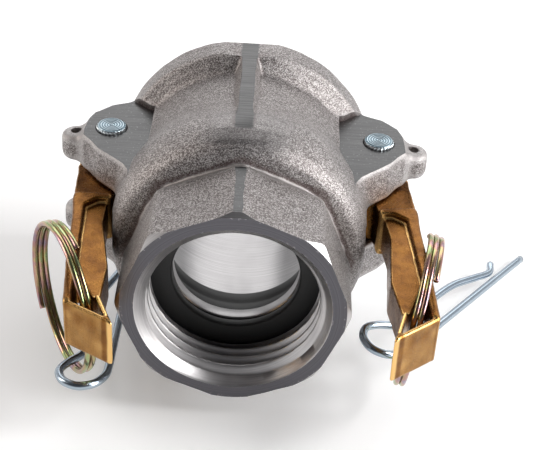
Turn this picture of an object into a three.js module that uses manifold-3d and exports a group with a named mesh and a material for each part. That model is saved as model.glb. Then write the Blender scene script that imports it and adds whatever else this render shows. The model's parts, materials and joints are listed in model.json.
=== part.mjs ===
// Camlock coupling, type D, 1 inch (DN 25): a cast aluminium coupler with a female thread, two brass cam
// levers on pivot pins, pull rings, wire safety clips and two gaskets. Millimetres, +Z up.
// The coupling lies on the ground pad under its body, with its axis along Y and the thread end towards -Y.
// Shapes are drawn with y = 0 at the thread face and z = 0 on the coupling's axis.

import * as THREE from 'three';
import { mergeVertices } from 'three/addons/utils/BufferGeometryUtils.js';
import Module from 'manifold-3d';

const wasm = await Module();
wasm.setup();

// ---------------------------------------------------------------- driving dimensions

const bodyLength = 53;
const axisHeight = 24.3;         // from the ground pad to the coupling's axis

const octagonRadius = 20.8;      // to a corner
const octagonLength = 16.5;
const faceRadius = 19.7;         // of the turned thread face, inside the chamfer
const shoulderRadius = 22.3;     // the front edge of the barrel, behind the octagon
const barrelRadius = 23.9;
const waistRadius = 21.8;
const flangeRadius = 24.9;
const flangeWidth = 4.9;         // behind its sloping front
const ribHalfWidth = 1.3;
const ribBaseHalfWidth = 3.1;
const ribStart = 22.5;
const padHalfWidth = 5;          // the wider ground pad under the body
const padStart = 19;

const threadEntryRadius = 17;
const threadMinorRadius = 15.15; // G 1
const threadDepth = 10.3;
const threadGasket = { outer: 15.9, inner: 11.55, thickness: 2 };
const seatRadius = 16.25;        // the relief that the thread gasket lies in
const throatRadius = 11.5;
const camGasket = { outer: 19.75, inner: 13.5, thickness: 6.35 };
const camGasketStart = 16.4;
const recessRadius = 20.05;
const socketRadius = 18.65;
const gap = 0.3;                 // between pieces that touch

const pivotX = 25.5;
const pivotY = 38.5;
const bossHalfHeight = 12.2;
const slotHalfHeight = 4.5;
const slotStart = 28.3;
const slotEnd = 46.5;
const earX = 32.3;
const earY = 38.8;
const earRadius = 2.8;
const earHoleRadius = 1.05;
const earLow = 5.6;
const earHigh = 10.9;

const pinRadius = 2.4;
const pinHeadRadius = 2.95;
const pinHeadLength = 4.2;
const pinProud = 0.7;            // the head stands this far above its boss

const headHalfHeight = 4.2;
const leverHalfHeight = 4.9;
const panelHalfHeight = 3.6;
const headRadius = 6.3;
const lobeOffset = [2.9, -1.5];
const lobeRadius = 6.9;
const rightLeverOpen = 8.7;       // degrees, as it lies

const ringRadius = 13.4;
const ringWire = 1;
const ringWidth = 1.8;           // two turns side by side
const clipWire = 1.6;

// ---------------------------------------------------------------- solids

// A closed geometry as a manifold-3d solid.
function solid(geometry) {
  const bare = geometry.clone();
  bare.deleteAttribute('normal');
  bare.deleteAttribute('uv');
  const merged = mergeVertices(bare, 1e-4);
  return new wasm.Manifold(new wasm.Mesh({
    numProp: 3,
    vertProperties: new Float32Array(merged.attributes.position.array),
    triVerts: new Uint32Array(merged.index.array),
  }));
}

function geometryOf(manifold) {
  const mesh = manifold.getMesh();
  const geometry = new THREE.BufferGeometry();
  geometry.setAttribute('position', new THREE.BufferAttribute(new Float32Array(mesh.vertProperties), 3));
  geometry.setIndex(new THREE.BufferAttribute(new Uint32Array(mesh.triVerts), 1));
  geometry.computeVertexNormals();
  return geometry;
}

function joined(...solids) {
  return solids.reduce((sum, next) => sum.add(next));
}

function cutBy(whole, ...tools) {
  return tools.reduce((left, tool) => left.subtract(tool), whole);
}

// A turned solid about the Y axis, from [radius, y] points that start and end on the axis.
function turned(points, segments = 64) {
  const profile = points.map(([r, y]) => new THREE.Vector2(r, y));
  return solid(new THREE.LatheGeometry(profile, segments));
}

function cylinderAlongY(radius, from, to, segments = 64) {
  return turned([[0, from], [radius, from], [radius, to], [0, to]], segments);
}

function cylinderAlongZ(radius, x, y, low, high, segments = 32) {
  const geometry = new THREE.CylinderGeometry(radius, radius, high - low, segments);
  geometry.rotateX(Math.PI / 2);
  geometry.translate(x, y, (low + high) / 2);
  return solid(geometry);
}

function box(x0, x1, y0, y1, z0, z1) {
  const geometry = new THREE.BoxGeometry(x1 - x0, y1 - y0, z1 - z0);
  geometry.translate((x0 + x1) / 2, (y0 + y1) / 2, (z0 + z1) / 2);
  return solid(geometry);
}

// A plan outline raised from low to high. side = -1 mirrors it to the other side of the coupling.
function plate(points, low, high, side = 1) {
  const outline = new THREE.Shape(points.map(([x, y]) => new THREE.Vector2(side * x, y)));
  const geometry = new THREE.ExtrudeGeometry(outline, { depth: high - low, bevelEnabled: false });
  geometry.translate(0, 0, low);
  return solid(geometry);
}

function piece(name, geometry, color, roughness, metalness) {
  const material = new THREE.MeshStandardMaterial({ color, roughness, metalness });
  const mesh = new THREE.Mesh(geometry, material);
  mesh.name = name;
  return mesh;
}

// ---------------------------------------------------------------- coupler body

// The thread end: an octagon with a corner at the top, its front edge turned off in a chamfer.
function octagonEnd() {
  const geometry = new THREE.CylinderGeometry(octagonRadius, octagonRadius, octagonLength, 8);
  geometry.translate(0, octagonLength / 2, 0);
  const chamfer = turned([[0, 0], [faceRadius, 0], [octagonRadius + 0.2, 1.3],
    [octagonRadius + 0.2, octagonLength], [0, octagonLength]]);
  return solid(geometry).intersect(chamfer);
}

function barrel() {
  const flangeStart = bodyLength - flangeWidth;
  return turned([
    [0, 14], [19, 14], [20.6, 15.1],
    [shoulderRadius, 16.3], [23.4, 18], [barrelRadius, 21], [barrelRadius, 25.5],
    [23.4, 29], [22.5, 32.6], [22, 35.5], [waistRadius, 39], [waistRadius, flangeStart - 2.9],
    [waistRadius + 0.5, flangeStart - 2.2], [flangeRadius - 0.5, flangeStart],
    [flangeRadius, flangeStart + 0.6],
    [flangeRadius, bodyLength - 0.6], [flangeRadius - 0.6, bodyLength], [0, bodyLength],
  ], 80);
}

// The rib along the top, and the same rib underneath with the ground pad that the coupling lies on.
function ribs() {
  const rib = new THREE.Shape([
    new THREE.Vector2(-ribBaseHalfWidth, waistRadius - 1),
    new THREE.Vector2(ribBaseHalfWidth, waistRadius - 1),
    new THREE.Vector2(ribHalfWidth, axisHeight),
    new THREE.Vector2(-ribHalfWidth, axisHeight),
  ]);
  const length = bodyLength - ribStart - 0.5;
  const top = new THREE.ExtrudeGeometry(rib, { depth: length, bevelEnabled: false });
  top.rotateX(Math.PI / 2);
  top.translate(0, ribStart + length, 0);
  const pad = box(-padHalfWidth, padHalfWidth, padStart, bodyLength - 0.5, -axisHeight, 2 - waistRadius);
  return joined(solid(top), pad);
}

const bossOutline = [[17, 22], [21.3, 25.2], [24, 27.8], [27.5, 31.1], [30.4, 35.5], [30.2, 40.5],
  [29.5, 44], [26.6, 47], [22.4, 49], [17, 49]];

function boss(side) {
  const block = plate(bossOutline, -bossHalfHeight, bossHalfHeight, side);
  const lugs = [[-earHigh, -earLow], [earLow, earHigh]].flatMap(([low, high]) => [
    cylinderAlongZ(earRadius, side * earX, earY, low, high),
    plate([[28, 35.2], [earX, earY - earRadius], [earX, earY + earRadius], [28, 43]], low, high, side),
  ]);
  return joined(block, ...lugs);
}

// What the lever needs: its slot through the boss and the wall, the pin's bore and the clip's two eyes.
function bossCuts(side) {
  const inner = side * (socketRadius - 4);
  const outer = side * 40;
  const neck = side * 23.4;
  const slot = box(Math.min(inner, outer), Math.max(inner, outer), slotStart, slotEnd,
    -slotHalfHeight, slotHalfHeight);
  const mouth = box(Math.min(neck, outer), Math.max(neck, outer), 18, slotStart + 1,
    -slotHalfHeight, slotHalfHeight);
  return [
    slot,
    mouth,
    cylinderAlongZ(pinRadius + gap, side * pivotX, pivotY, -30, 30),
    cylinderAlongZ(pinHeadRadius + gap, side * pivotX, pivotY,
      bossHalfHeight + pinProud - pinHeadLength - gap, 30),
    cylinderAlongZ(earHoleRadius, side * earX, earY, -30, 30, 16),
  ];
}

// The hollow inside, from the thread face to the socket: thread, gasket seat, throat, recess, socket.
function bore() {
  const seatEnd = threadDepth + threadGasket.thickness + gap;
  const recessEnd = camGasketStart + camGasket.thickness + gap;
  return turned([
    [0, -1], [threadEntryRadius, -1], [threadEntryRadius, 0.4], [threadMinorRadius, 2.2],
    [threadMinorRadius, threadDepth - 1], [seatRadius, threadDepth - 1], [seatRadius, seatEnd],
    [throatRadius, seatEnd], [throatRadius, camGasketStart - 1.2], [throatRadius + 0.9, camGasketStart - gap],
    [recessRadius, camGasketStart - gap], [recessRadius, recessEnd], [socketRadius, recessEnd],
    [socketRadius, bodyLength - 1.2], [socketRadius + 1.2, bodyLength], [socketRadius + 1.2, bodyLength + 1],
    [0, bodyLength + 1],
  ], 80);
}

function couplerBody() {
  const cast = joined(octagonEnd(), barrel(), ribs(), boss(-1), boss(1));
  const ground = [
    box(-30, 30, padStart - 5, bodyLength + 5, axisHeight, 40),
    box(-30, 30, -5, bodyLength + 5, -40, -axisHeight),
  ];
  return geometryOf(cutBy(cast, bore(), ...bossCuts(-1), ...bossCuts(1), ...ground));
}

// ---------------------------------------------------------------- gaskets and pins

function washer(size, start) {
  const ring = cylinderAlongY(size.outer, start, start + size.thickness);
  return geometryOf(ring.subtract(cylinderAlongY(size.inner, start - 1, start + size.thickness + 1)));
}

function pivotPin(side) {
  const top = bossHalfHeight + pinProud;
  const shaft = cylinderAlongZ(pinRadius, side * pivotX, pivotY, gap - bossHalfHeight, top - 1);
  const head = cylinderAlongZ(pinHeadRadius, side * pivotX, pivotY, top - pinHeadLength, top);
  return geometryOf(joined(shaft, head));
}

// ---------------------------------------------------------------- cam lever

// Drawn about its pivot, closed, with the arm towards -Y. The x of the left lever is as written here.
function camLever(side) {
  const across = -side;
  const eye = [[-4.3, -26], [-2.8, -44], [6.2, -49.2], [3, -41.6], [2.05, -41.3], [4.45, -47.05],
    [-1.7, -43.5], [-2.6, -26]];
  const web = [[-5.7, -11.4], [-5.75, -13.2], [-5, -18.8], [-4.1, -32.2], [-2.8, -44],
    [-1.7, -43.5], [-2.3, -32], [-3, -18.8], [-3.2, -15], [-1.2, -13], [1.4, -12.8], [1.4, -11.4]];
  const panel = [[-3.4, -12], [0.6, -12.5], [0.7, -19.5], [3.2, -32], [3, -42.6], [1.6, -40.9],
    [-2.4, -33], [-3, -18]];
  const neck = [[-6.1, -1.5], [-6.1, -6], [-5.9, -9.6], [-5.6, -12], [1.4, -12], [1.7, -9], [5, -4]];
  const head = joined(
    cylinderAlongZ(headRadius, 0, 0, -headHalfHeight, headHalfHeight, 48),
    cylinderAlongZ(lobeRadius, across * lobeOffset[0], lobeOffset[1], -headHalfHeight, headHalfHeight, 48),
    plate(neck, -headHalfHeight, headHalfHeight, across),
  );
  const arm = joined(
    plate(web, -leverHalfHeight, leverHalfHeight, across),
    plate(eye, -leverHalfHeight, leverHalfHeight, across),
    plate(panel, -panelHalfHeight, panelHalfHeight, across),
  );
  const pinBore = cylinderAlongZ(pinRadius + gap, 0, 0, -30, 30);
  return geometryOf(cutBy(joined(head, arm), pinBore));
}

// ---------------------------------------------------------------- pull ring and safety clip

function pullRing() {
  const low = ringRadius - ringWire / 2;
  const high = ringRadius + ringWire / 2;
  const half = ringWidth / 2;
  const section = [[low, -half + 0.3], [low + 0.3, -half], [high - 0.3, -half], [high, -half + 0.3],
    [high, half - 0.3], [high - 0.3, half], [low + 0.3, half], [low, half - 0.3], [low, -half + 0.3]];
  const profile = section.map(([r, y]) => new THREE.Vector2(r, y));
  return geometryOf(solid(new THREE.LatheGeometry(profile, 48)));
}

// A hairpin drawn flat: the straight pin along X, the loop that the ring passes through, and the spring leg.
const clipRoute = [[52, 0], [40, 0], [28, 0], [16, 0], [6, 0], [2, 0], [-1.5, 0.3], [-4.5, 2], [-5.6, 4.6],
  [-4.4, 7.2], [-1.4, 8.4], [1.6, 7.4], [4.6, 5.4], [9, 4.5], [18, 4.9], [28, 4.6], [35, 3], [40, 2],
  [43, 3.2]];

function safetyClip() {
  const route = new THREE.CatmullRomCurve3(clipRoute.map(([x, y]) => new THREE.Vector3(x, y, 0)));
  const section = new THREE.Shape();
  section.absarc(0, 0, clipWire / 2, 0, 2 * Math.PI);
  return geometryOf(solid(new THREE.ExtrudeGeometry(section, {
    steps: 72, extrudePath: route, bevelEnabled: false, curveSegments: 4,
  })));
}

// Turns and places a mesh so that its own X and Z axes point along the given directions.
function place(mesh, position, alongX, alongZ) {
  const x = new THREE.Vector3(...alongX).normalize();
  const y = new THREE.Vector3(...alongZ).cross(x).normalize();
  const z = new THREE.Vector3().crossVectors(x, y);
  mesh.quaternion.setFromRotationMatrix(new THREE.Matrix4().makeBasis(x, y, z));
  mesh.position.set(...position);
  return mesh;
}

// ---------------------------------------------------------------- assembly

const coupling = new THREE.Group();

coupling.add(piece('coupler_body', couplerBody(), 0xa9a6a8, 0.45, 0.9));
coupling.add(piece('thread_gasket', washer(threadGasket, threadDepth), 0x0c0c0d, 0.7, 0));
coupling.add(piece('cam_gasket', washer(camGasket, camGasketStart), 0x121213, 0.6, 0));

for (const [name, side] of [['left', -1], ['right', 1]]) {
  coupling.add(piece(`pivot_pin_${name}`, pivotPin(side), 0xb9c6cf, 0.3, 1));
  const lever = piece(`cam_lever_${name}`, camLever(side), 0x9a6a2c, 0.35, 1);
  lever.position.set(side * pivotX, pivotY, 0);
  lever.rotation.z = name === 'right' ? THREE.MathUtils.degToRad(rightLeverOpen) : 0;
  coupling.add(lever);
}

// The rings' own Y axes are the axes of their coils.
const rings = {
  left: { position: [-30.07, 6.2, -3.66], axis: [0.88, 0.47, -0.01] },
  right: { position: [32.85, 7.88, -3.51], axis: [1.03, -0.18, -0.12] },
};
const clips = {
  left: { position: [-21.76, -1.11, -14.24], along: [-0.01, 0.964, -0.169], up: [0.047, 0.174, 0.99] },
  right: { position: [31.99, 9.32, -14.51], along: [0.543, 0.835, -0.17], up: [0.167, -0.167, 0.981] },
};

for (const side of ['left', 'right']) {
  const ring = piece(`pull_ring_${side}`, pullRing(), 0xa89a5a, 0.25, 1);
  const axis = new THREE.Vector3(...rings[side].axis).normalize();
  ring.quaternion.setFromUnitVectors(new THREE.Vector3(0, 1, 0), axis);
  ring.position.set(...rings[side].position);
  const clip = piece(`safety_clip_${side}`, safetyClip(), 0xaeb6bc, 0.25, 1);
  coupling.add(ring, place(clip, clips[side].position, clips[side].along, clips[side].up));
}

coupling.position.set(0, -bodyLength / 2, axisHeight);

const group = new THREE.Group();
group.add(coupling);

export default group;
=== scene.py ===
# The camlock coupling's looks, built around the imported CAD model: a cast and machined aluminium body,
# brass cam levers, knurled pins, coiled pull rings, wire clips and rubber gaskets.
import json
import math

import bmesh
import bpy
import numpy as np
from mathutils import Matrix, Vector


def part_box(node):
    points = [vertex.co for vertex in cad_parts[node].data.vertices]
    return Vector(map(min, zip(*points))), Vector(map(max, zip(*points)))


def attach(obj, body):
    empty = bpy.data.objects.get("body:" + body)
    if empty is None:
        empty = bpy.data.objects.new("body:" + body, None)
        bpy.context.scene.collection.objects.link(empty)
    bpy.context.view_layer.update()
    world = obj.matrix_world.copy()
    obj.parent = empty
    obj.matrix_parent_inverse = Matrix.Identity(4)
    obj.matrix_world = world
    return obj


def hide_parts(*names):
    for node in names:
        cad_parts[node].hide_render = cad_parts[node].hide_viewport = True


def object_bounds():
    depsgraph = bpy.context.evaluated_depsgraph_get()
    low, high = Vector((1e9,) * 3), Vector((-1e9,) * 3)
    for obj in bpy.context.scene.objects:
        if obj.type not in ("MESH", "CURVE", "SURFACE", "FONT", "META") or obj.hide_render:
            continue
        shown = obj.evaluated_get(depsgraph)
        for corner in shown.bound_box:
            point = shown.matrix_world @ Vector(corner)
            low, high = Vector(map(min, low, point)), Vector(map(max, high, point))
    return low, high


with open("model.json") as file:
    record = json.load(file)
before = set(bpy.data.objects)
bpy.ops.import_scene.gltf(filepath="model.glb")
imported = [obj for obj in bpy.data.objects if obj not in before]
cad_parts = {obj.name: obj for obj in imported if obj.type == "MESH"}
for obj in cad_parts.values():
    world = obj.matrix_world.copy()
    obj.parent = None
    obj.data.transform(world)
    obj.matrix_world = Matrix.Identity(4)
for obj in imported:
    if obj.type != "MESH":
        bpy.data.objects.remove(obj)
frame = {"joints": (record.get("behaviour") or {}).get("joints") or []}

import openvdb
from mathutils import Matrix, Vector

cad_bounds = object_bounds()

# Shapes are drawn in millimetres from the thread face: y = 0 on it, z = 0 on the coupling's axis.
MM = 0.001
body_low, body_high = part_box("coupler_body")
FACE_Y = body_low.y / MM
AXIS_Z = (body_low.z + body_high.z) / 2 / MM
BODY_LENGTH = (body_high.y - body_low.y) / MM
RIB_HEIGHT = (body_high.z - body_low.z) / 2 / MM
ORIGIN = (0, FACE_Y, AXIS_Z)     # the drawing's origin, in the frame's millimetres

joint_of = {joint["name"]: joint for joint in frame["joints"]}


def drawn(point):
    """A point of the frame, in metres, as a point of the drawing, in millimetres."""
    return Vector((point[0] / MM, point[1] / MM - FACE_Y, point[2] / MM - AXIS_Z))


PIVOT = drawn(joint_of["lever_right_pivot"]["pos_m"])

# ---------------------------------------------------------------- driving dimensions (mm)

OCTAGON_RADIUS = 20.8        # to a corner
OCTAGON_END = 15.3
CORNER_FLAT = 20.45          # the ground strip along the top corner
FACE_RADIUS = 19.7
WAIST_RADIUS = 21.8
FLANGE_RADIUS = 24.9
FLANGE_WIDTH = 4.9           # behind its sloping front
BARREL_RISE = 0.019          # the barrel's extra height, as a share of its radius

THREAD_PITCH = 2.309         # G 1
THREAD_MAJOR = 16.62
THREAD_MINOR = 15.15
THREAD_ENTRY = 17.0
THREAD_DEPTH = 10.3
SEAT_RADIUS = 16.25
SEAT_END = 12.6
THROAT_RADIUS = 11.5
RECESS_START = 16.1
RECESS_END = 23.05
RECESS_RADIUS = 20.05
SOCKET_RADIUS = 18.65
SOCKET_CHAMFER = 1.2

BOSS_HEIGHT = 12.2
SLOT_HEIGHT = 4.5
SLOT_START = 28.3
SLOT_END = 46.5
NECK_X = 23.4                # outside this the slot is open towards the thread end
EAR = Vector((32.3, 38.8, 0))
EAR_RADIUS = 2.8
EAR_HOLE = 1.05
EAR_LOW = 5.6
EAR_HIGH = 10.9
BOSS_OUTLINE = [(15, 22), (21.3, 25.2), (24, 27.8), (27.5, 31.1), (30.4, 35.5), (30.2, 40.5),
                (29.5, 44), (26.6, 47), (22.4, 49), (15, 49)]

PIN_RADIUS = 2.4
PIN_HEAD_RADIUS = 2.95
PIN_TOP = BOSS_HEIGHT + 0.7
KNURL_TEETH = 26
KNURL_DEPTH = 0.16

SIDE_NAME = {-1: "left", 1: "right"}
LEVER_OPEN = {"left": 0.0, "right": 8.7}     # degrees from closed, as they lie
LEVER_HALF = 4.9
HEAD_HALF = 4.2
PANEL_HALF = 3.6

RING_RADIUS = 13.4
RING_WIRE = 1.0
RING_PITCH = 1.02
CLIP_WIRE = 1.56


# ---------------------------------------------------------------- mesh helpers

def add_object(name, points, faces, smooth_angle=None):
    """A mesh object from drawing points in millimetres."""
    mesh = bpy.data.meshes.new(name)
    moved = (np.asarray(points, float) + ORIGIN) * MM
    mesh.from_pydata(moved.tolist(), [], [list(face) for face in faces])
    mesh.validate()
    made = bpy.data.objects.new(name, mesh)
    bpy.context.scene.collection.objects.link(made)
    if smooth_angle is not None:
        shade(made, smooth_angle)
    return made


def shade(made, degrees):
    """Smooth shading, with edges sharper than the angle left sharp."""
    for polygon in made.data.polygons:
        polygon.use_smooth = True
    made.data.set_sharp_from_angle(angle=math.radians(degrees))


def apply_modifiers(made):
    """Replaces the mesh with its modified one, without materials."""
    depsgraph = bpy.context.evaluated_depsgraph_get()
    mesh = bpy.data.meshes.new_from_object(made.evaluated_get(depsgraph), depsgraph=depsgraph)
    old = made.data
    made.modifiers.clear()
    made.data = mesh
    mesh.materials.clear()
    bpy.data.meshes.remove(old)


def cut(whole, tool):
    """Cuts the tool's shape out of a piece; the tool is used up."""
    modifier = whole.modifiers.new("cut", "BOOLEAN")
    modifier.operation = "DIFFERENCE"
    modifier.solver = "MANIFOLD"
    modifier.object = tool
    apply_modifiers(whole)
    bpy.data.objects.remove(tool)


def grid_faces(rows, columns, close_rows=False):
    """The quads between rows of points, each row closed into a ring; the last row may join the first."""
    faces = []
    for i in range(rows if close_rows else rows - 1):
        here, ahead = i * columns, (i + 1) % rows * columns
        for j in range(columns):
            beside = (j + 1) % columns
            faces.append((here + j, here + beside, ahead + beside, ahead + j))
    return faces


def lathe_y(name, profile, segments=160, smooth_angle=30):
    """A ring about the Y axis from a closed (radius, y) outline."""
    points = []
    for radius, y in profile:
        for k in range(segments):
            angle = 2 * math.pi * k / segments
            points.append((radius * math.sin(angle), y, radius * math.cos(angle)))
    faces = grid_faces(len(profile), segments, close_rows=True)
    made = add_object(name, points, faces, smooth_angle)
    outward(made)
    return made


def outward(made):
    """Turns all faces of a closed mesh outwards."""
    mesh = bmesh.new()
    mesh.from_mesh(made.data)
    bmesh.ops.recalc_face_normals(mesh, faces=mesh.faces)
    mesh.to_mesh(made.data)
    mesh.free()


def block(name, x0, x1, y0, y1, z0, z1):
    """A box, used as a cutter."""
    points = [(x, y, z) for x in (x0, x1) for y in (y0, y1) for z in (z0, z1)]
    faces = [(0, 1, 3, 2), (4, 6, 7, 5), (0, 4, 5, 1), (2, 3, 7, 6), (0, 2, 6, 4), (1, 5, 7, 3)]
    made = add_object(name, points, faces)
    outward(made)
    return made


def prism(name, outline, low, high):
    """A plan outline raised from low to high."""
    count = len(outline)
    points = [(x, y, low) for x, y in outline] + [(x, y, high) for x, y in outline]
    faces = [tuple(range(count))[::-1], tuple(range(count, 2 * count))]
    faces += [(k, (k + 1) % count, count + (k + 1) % count, count + k) for k in range(count)]
    made = add_object(name, points, faces)
    outward(made)
    return made


def post(name, radius, x, y, low, high, segments=64):
    """A round prism standing at x, y."""
    angles = [2 * math.pi * k / segments for k in range(segments)]
    outline = [(x + radius * math.cos(angle), y + radius * math.sin(angle)) for angle in angles]
    return prism(name, outline, low, high)


def tube(name, route, radius, sides, rounding):
    """A wire of round section along a route, its ends cut square with a small rounding."""
    end_sections = [(rounding * 0.35, radius - rounding * 0.25), (rounding, radius - rounding)]
    points = []
    rows = 0
    normal = (route[1] - route[0]).normalized().orthogonal().normalized()
    last = len(route) - 1
    for k, centre in enumerate(route):
        ahead = (route[min(k + 1, last)] - route[max(k - 1, 0)]).normalized()
        normal = (normal - ahead * normal.dot(ahead)).normalized()
        side = ahead.cross(normal)
        sections = [(0.0, radius)]
        if k == 0:
            sections = [(-along, size) for along, size in reversed(end_sections)] + sections
        if k == last:
            sections = sections + end_sections
        for along, size in sections:
            rows += 1
            for s in range(sides):
                angle = 2 * math.pi * s / sides
                around = normal * (size * math.cos(angle)) + side * (size * math.sin(angle))
                points.append(centre + ahead * along + around)
    faces = grid_faces(rows, sides)
    faces.append(tuple(range(sides))[::-1])
    faces.append(tuple(range(len(points) - sides, len(points))))
    made = add_object(name, [tuple(point) for point in points], faces, 40)
    outward(made)
    around = np.arange(len(points)) % sides / sides
    wave = made.data.attributes.new("around", "FLOAT", "POINT")
    wave.data.foreach_set("value", (0.5 - 0.5 * np.cos(2 * math.pi * around)).astype(np.float32))
    return made


# ---------------------------------------------------------------- distance fields for the castings

def polygon_distance(outline, x, y):
    """Signed distance in the plane to a closed outline, negative inside."""
    x, y = np.broadcast_arrays(np.asarray(x, np.float32), np.asarray(y, np.float32))
    nearest = np.full(x.shape, 1e9, np.float32)
    inside = np.zeros(x.shape, bool)
    for (x0, y0), (x1, y1) in zip(outline, outline[1:] + outline[:1]):
        ex, ey = x1 - x0, y1 - y0
        t = np.clip(((x - x0) * ex + (y - y0) * ey) / (ex * ex + ey * ey), 0, 1)
        nearest = np.minimum(nearest, (x - x0 - ex * t) ** 2 + (y - y0 - ey * t) ** 2)
        crosses = (y0 > y) != (y1 > y)
        if ey:
            inside ^= crosses & (x < ex * (y - y0) / ey + x0)
    return np.where(inside, -1, 1) * np.sqrt(nearest)


def joined(a, b, k):
    """The union of two fields, with a fillet of about k."""
    h = np.clip(0.5 + 0.5 * (b - a) / k, 0, 1)
    return b * (1 - h) + a * h - k * h * (1 - h)


def shared(a, b, k):
    """What two fields share, with the edge rounded by about k."""
    return -joined(-a, -b, k)


def without(a, b, k):
    """Field a with b taken away."""
    return shared(a, -b, k)


def blurred(table, cells):
    """A table of distances, smoothed in both directions over a few cells."""
    kernel = np.exp(-0.5 * (np.arange(-3 * cells, 3 * cells + 1) / cells) ** 2)
    kernel /= kernel.sum()
    padded = np.pad(table, 3 * cells, mode="edge")
    rows = np.apply_along_axis(lambda line: np.convolve(line, kernel, "valid"), 0, padded)
    return np.apply_along_axis(lambda line: np.convolve(line, kernel, "valid"), 1, rows)


def grain(shape, cell, seed, strength):
    """Slow random unevenness over a grid: cell is its size in voxels."""
    random = np.random.default_rng(seed)
    coarse = random.normal(0, 1, [int(n / cell) + 3 for n in shape]).astype(np.float32)
    for axis, count in enumerate(shape):
        place = np.arange(count) / cell
        low = place.astype(int)
        part = place - low
        part = (part * part * (3 - 2 * part)).astype(np.float32)
        wide = [1, 1, 1]
        wide[axis] = count
        part = part.reshape(wide)
        coarse = np.take(coarse, low, axis) * (1 - part) + np.take(coarse, low + 1, axis) * part
    return coarse * strength


def surface(name, field, low, voxel):
    """The mesh where a field is zero."""
    grid = openvdb.FloatGrid(float(field.max()))
    grid.copyFromArray(np.ascontiguousarray(field, np.float32))
    points, quads = grid.convertToQuads(0.0)
    return add_object(name, np.asarray(points) * voxel + np.asarray(low), np.asarray(quads))


# ---------------------------------------------------------------- coupler body

BODY_VOXEL = 0.28
MACHINED_GROWTH = 0.6        # the casting stands this proud of each machined face before it is cut


def body_field():
    """The raw casting: octagon, barrel, waist and flange, ribs, bosses with their slots, and ears."""
    low = np.array((-36.5, -1.5, -RIB_HEIGHT - 1.5))
    high = np.array((36.5, BODY_LENGTH + 1.5, RIB_HEIGHT + 1.5))
    counts = np.ceil((high - low) / BODY_VOXEL).astype(int)
    xs, ys, zs = (low[a] + BODY_VOXEL * np.arange(counts[a]) for a in range(3))
    x, y, z = xs[:, None, None], ys[None, :, None], zs[None, None, :]

    turned = barrel_field(xs, ys, zs)
    angles = [math.pi / 8 + k * math.pi / 4 for k in range(8)]
    apothem = OCTAGON_RADIUS * math.cos(math.pi / 8)
    octagon = None
    for angle in angles:
        plane = xs[:, None] * math.sin(angle) + zs[None, :] * math.cos(angle) - apothem
        octagon = plane if octagon is None else shared(octagon, plane, 0.7)
    octagon = shared(octagon[:, None, :] + 0 * y, y - OCTAGON_END, 1.3)
    cast = joined(turned, octagon, 0.9)

    foot, crest, root, top = 3.3, 1.25, WAIST_RADIUS - 2, RIB_HEIGHT + 0.1
    rib_outline = [(-foot, root), (foot, root), (crest, top), (crest, RIB_HEIGHT + 2),
                   (-crest, RIB_HEIGHT + 2), (-crest, top)]
    rib = polygon_distance(rib_outline, xs[:, None], zs[None, :])[:, None, :]
    rib = np.maximum(rib + 0 * y, np.maximum(22.5 - y, y - BODY_LENGTH + 0.5))
    cast = joined(cast, rib, 0.5)
    pad = np.maximum(np.maximum(np.abs(x) - 5, z + 18), np.maximum(19 - y, y - BODY_LENGTH + 0.5))
    cast = joined(cast, pad, 0.8)

    for side in (-1, 1):
        outline = [(side * px, py) for px, py in BOSS_OUTLINE]
        plan = polygon_distance(outline, xs[:, None], ys[None, :])[:, :, None]
        boss = shared(plan + 0 * z, np.abs(z) - BOSS_HEIGHT - MACHINED_GROWTH, 1.5)
        cast = joined(cast, boss, 1.6)
        ear_plan = np.minimum(np.hypot(side * x - EAR.x, y - EAR.y) - EAR_RADIUS,
                              np.maximum(np.abs(side * x - 29) - 3.3, np.abs(y - EAR.y) - EAR_RADIUS))
        middle = (EAR_LOW + EAR_HIGH) / 2
        ear = shared(ear_plan + 0 * z, np.abs(np.abs(z) - middle) - (EAR_HIGH - EAR_LOW) / 2, 1.5)
        cast = joined(cast, ear, 2.6)
        slot = np.maximum(np.abs(side * x - 27) - 12, np.maximum(SLOT_START - y, y - SLOT_END))
        mouth = np.maximum(np.abs(side * x - NECK_X - 10) - 10, np.maximum(18 - y, y - SLOT_START - 1))
        gap = shared(np.minimum(slot, mouth) + 0 * z, np.abs(z) - SLOT_HEIGHT, 0.5)
        cast = without(cast, gap, 0.7)
    cast = cast + grain(cast.shape, 14, 3, 0.05) + grain(cast.shape, 5, 4, 0.018)
    cast[:, 0, :] = cast[:, -1, :] = 2.0
    return cast, low


def barrel_field(xs, ys, zs):
    """The round shape of the casting, from its outline, made slightly taller over the barrel."""
    flange_front = BODY_LENGTH - FLANGE_WIDTH
    outline = [(-5, 12), (18.0, 12), (18.1, 15.0), (19.4, 15.7), (21.6, 16.2), (22.6, 17.2), (23.4, 18.8),
               (23.9, 21.5), (23.9, 25.5), (23.4, 29), (22.5, 32.6), (22.0, 35.5), (WAIST_RADIUS, 39),
               (WAIST_RADIUS, flange_front - 3.0), (WAIST_RADIUS + 0.5, flange_front - 2.3),
               (FLANGE_RADIUS, flange_front), (FLANGE_RADIUS, BODY_LENGTH + 1), (-5, BODY_LENGTH + 1)]
    step = 0.1
    radii = np.arange(0, 38, step)
    levels = np.arange(ys[0] - 1, ys[-1] + 1, step)
    table = blurred(polygon_distance(outline, radii[None, :], levels[:, None]), 4)
    field = np.empty((len(xs), len(ys), len(zs)), np.float32)
    for j, level in enumerate(ys):
        taller = 1 + BARREL_RISE * math.exp(-((level - 24) / 5) ** 2)
        radial = np.hypot(xs[:, None], zs[None, :] / taller)
        row = table[int(round((level - levels[0]) / step))]
        field[:, j, :] = np.interp(radial, radii, row)
    return field


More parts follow.
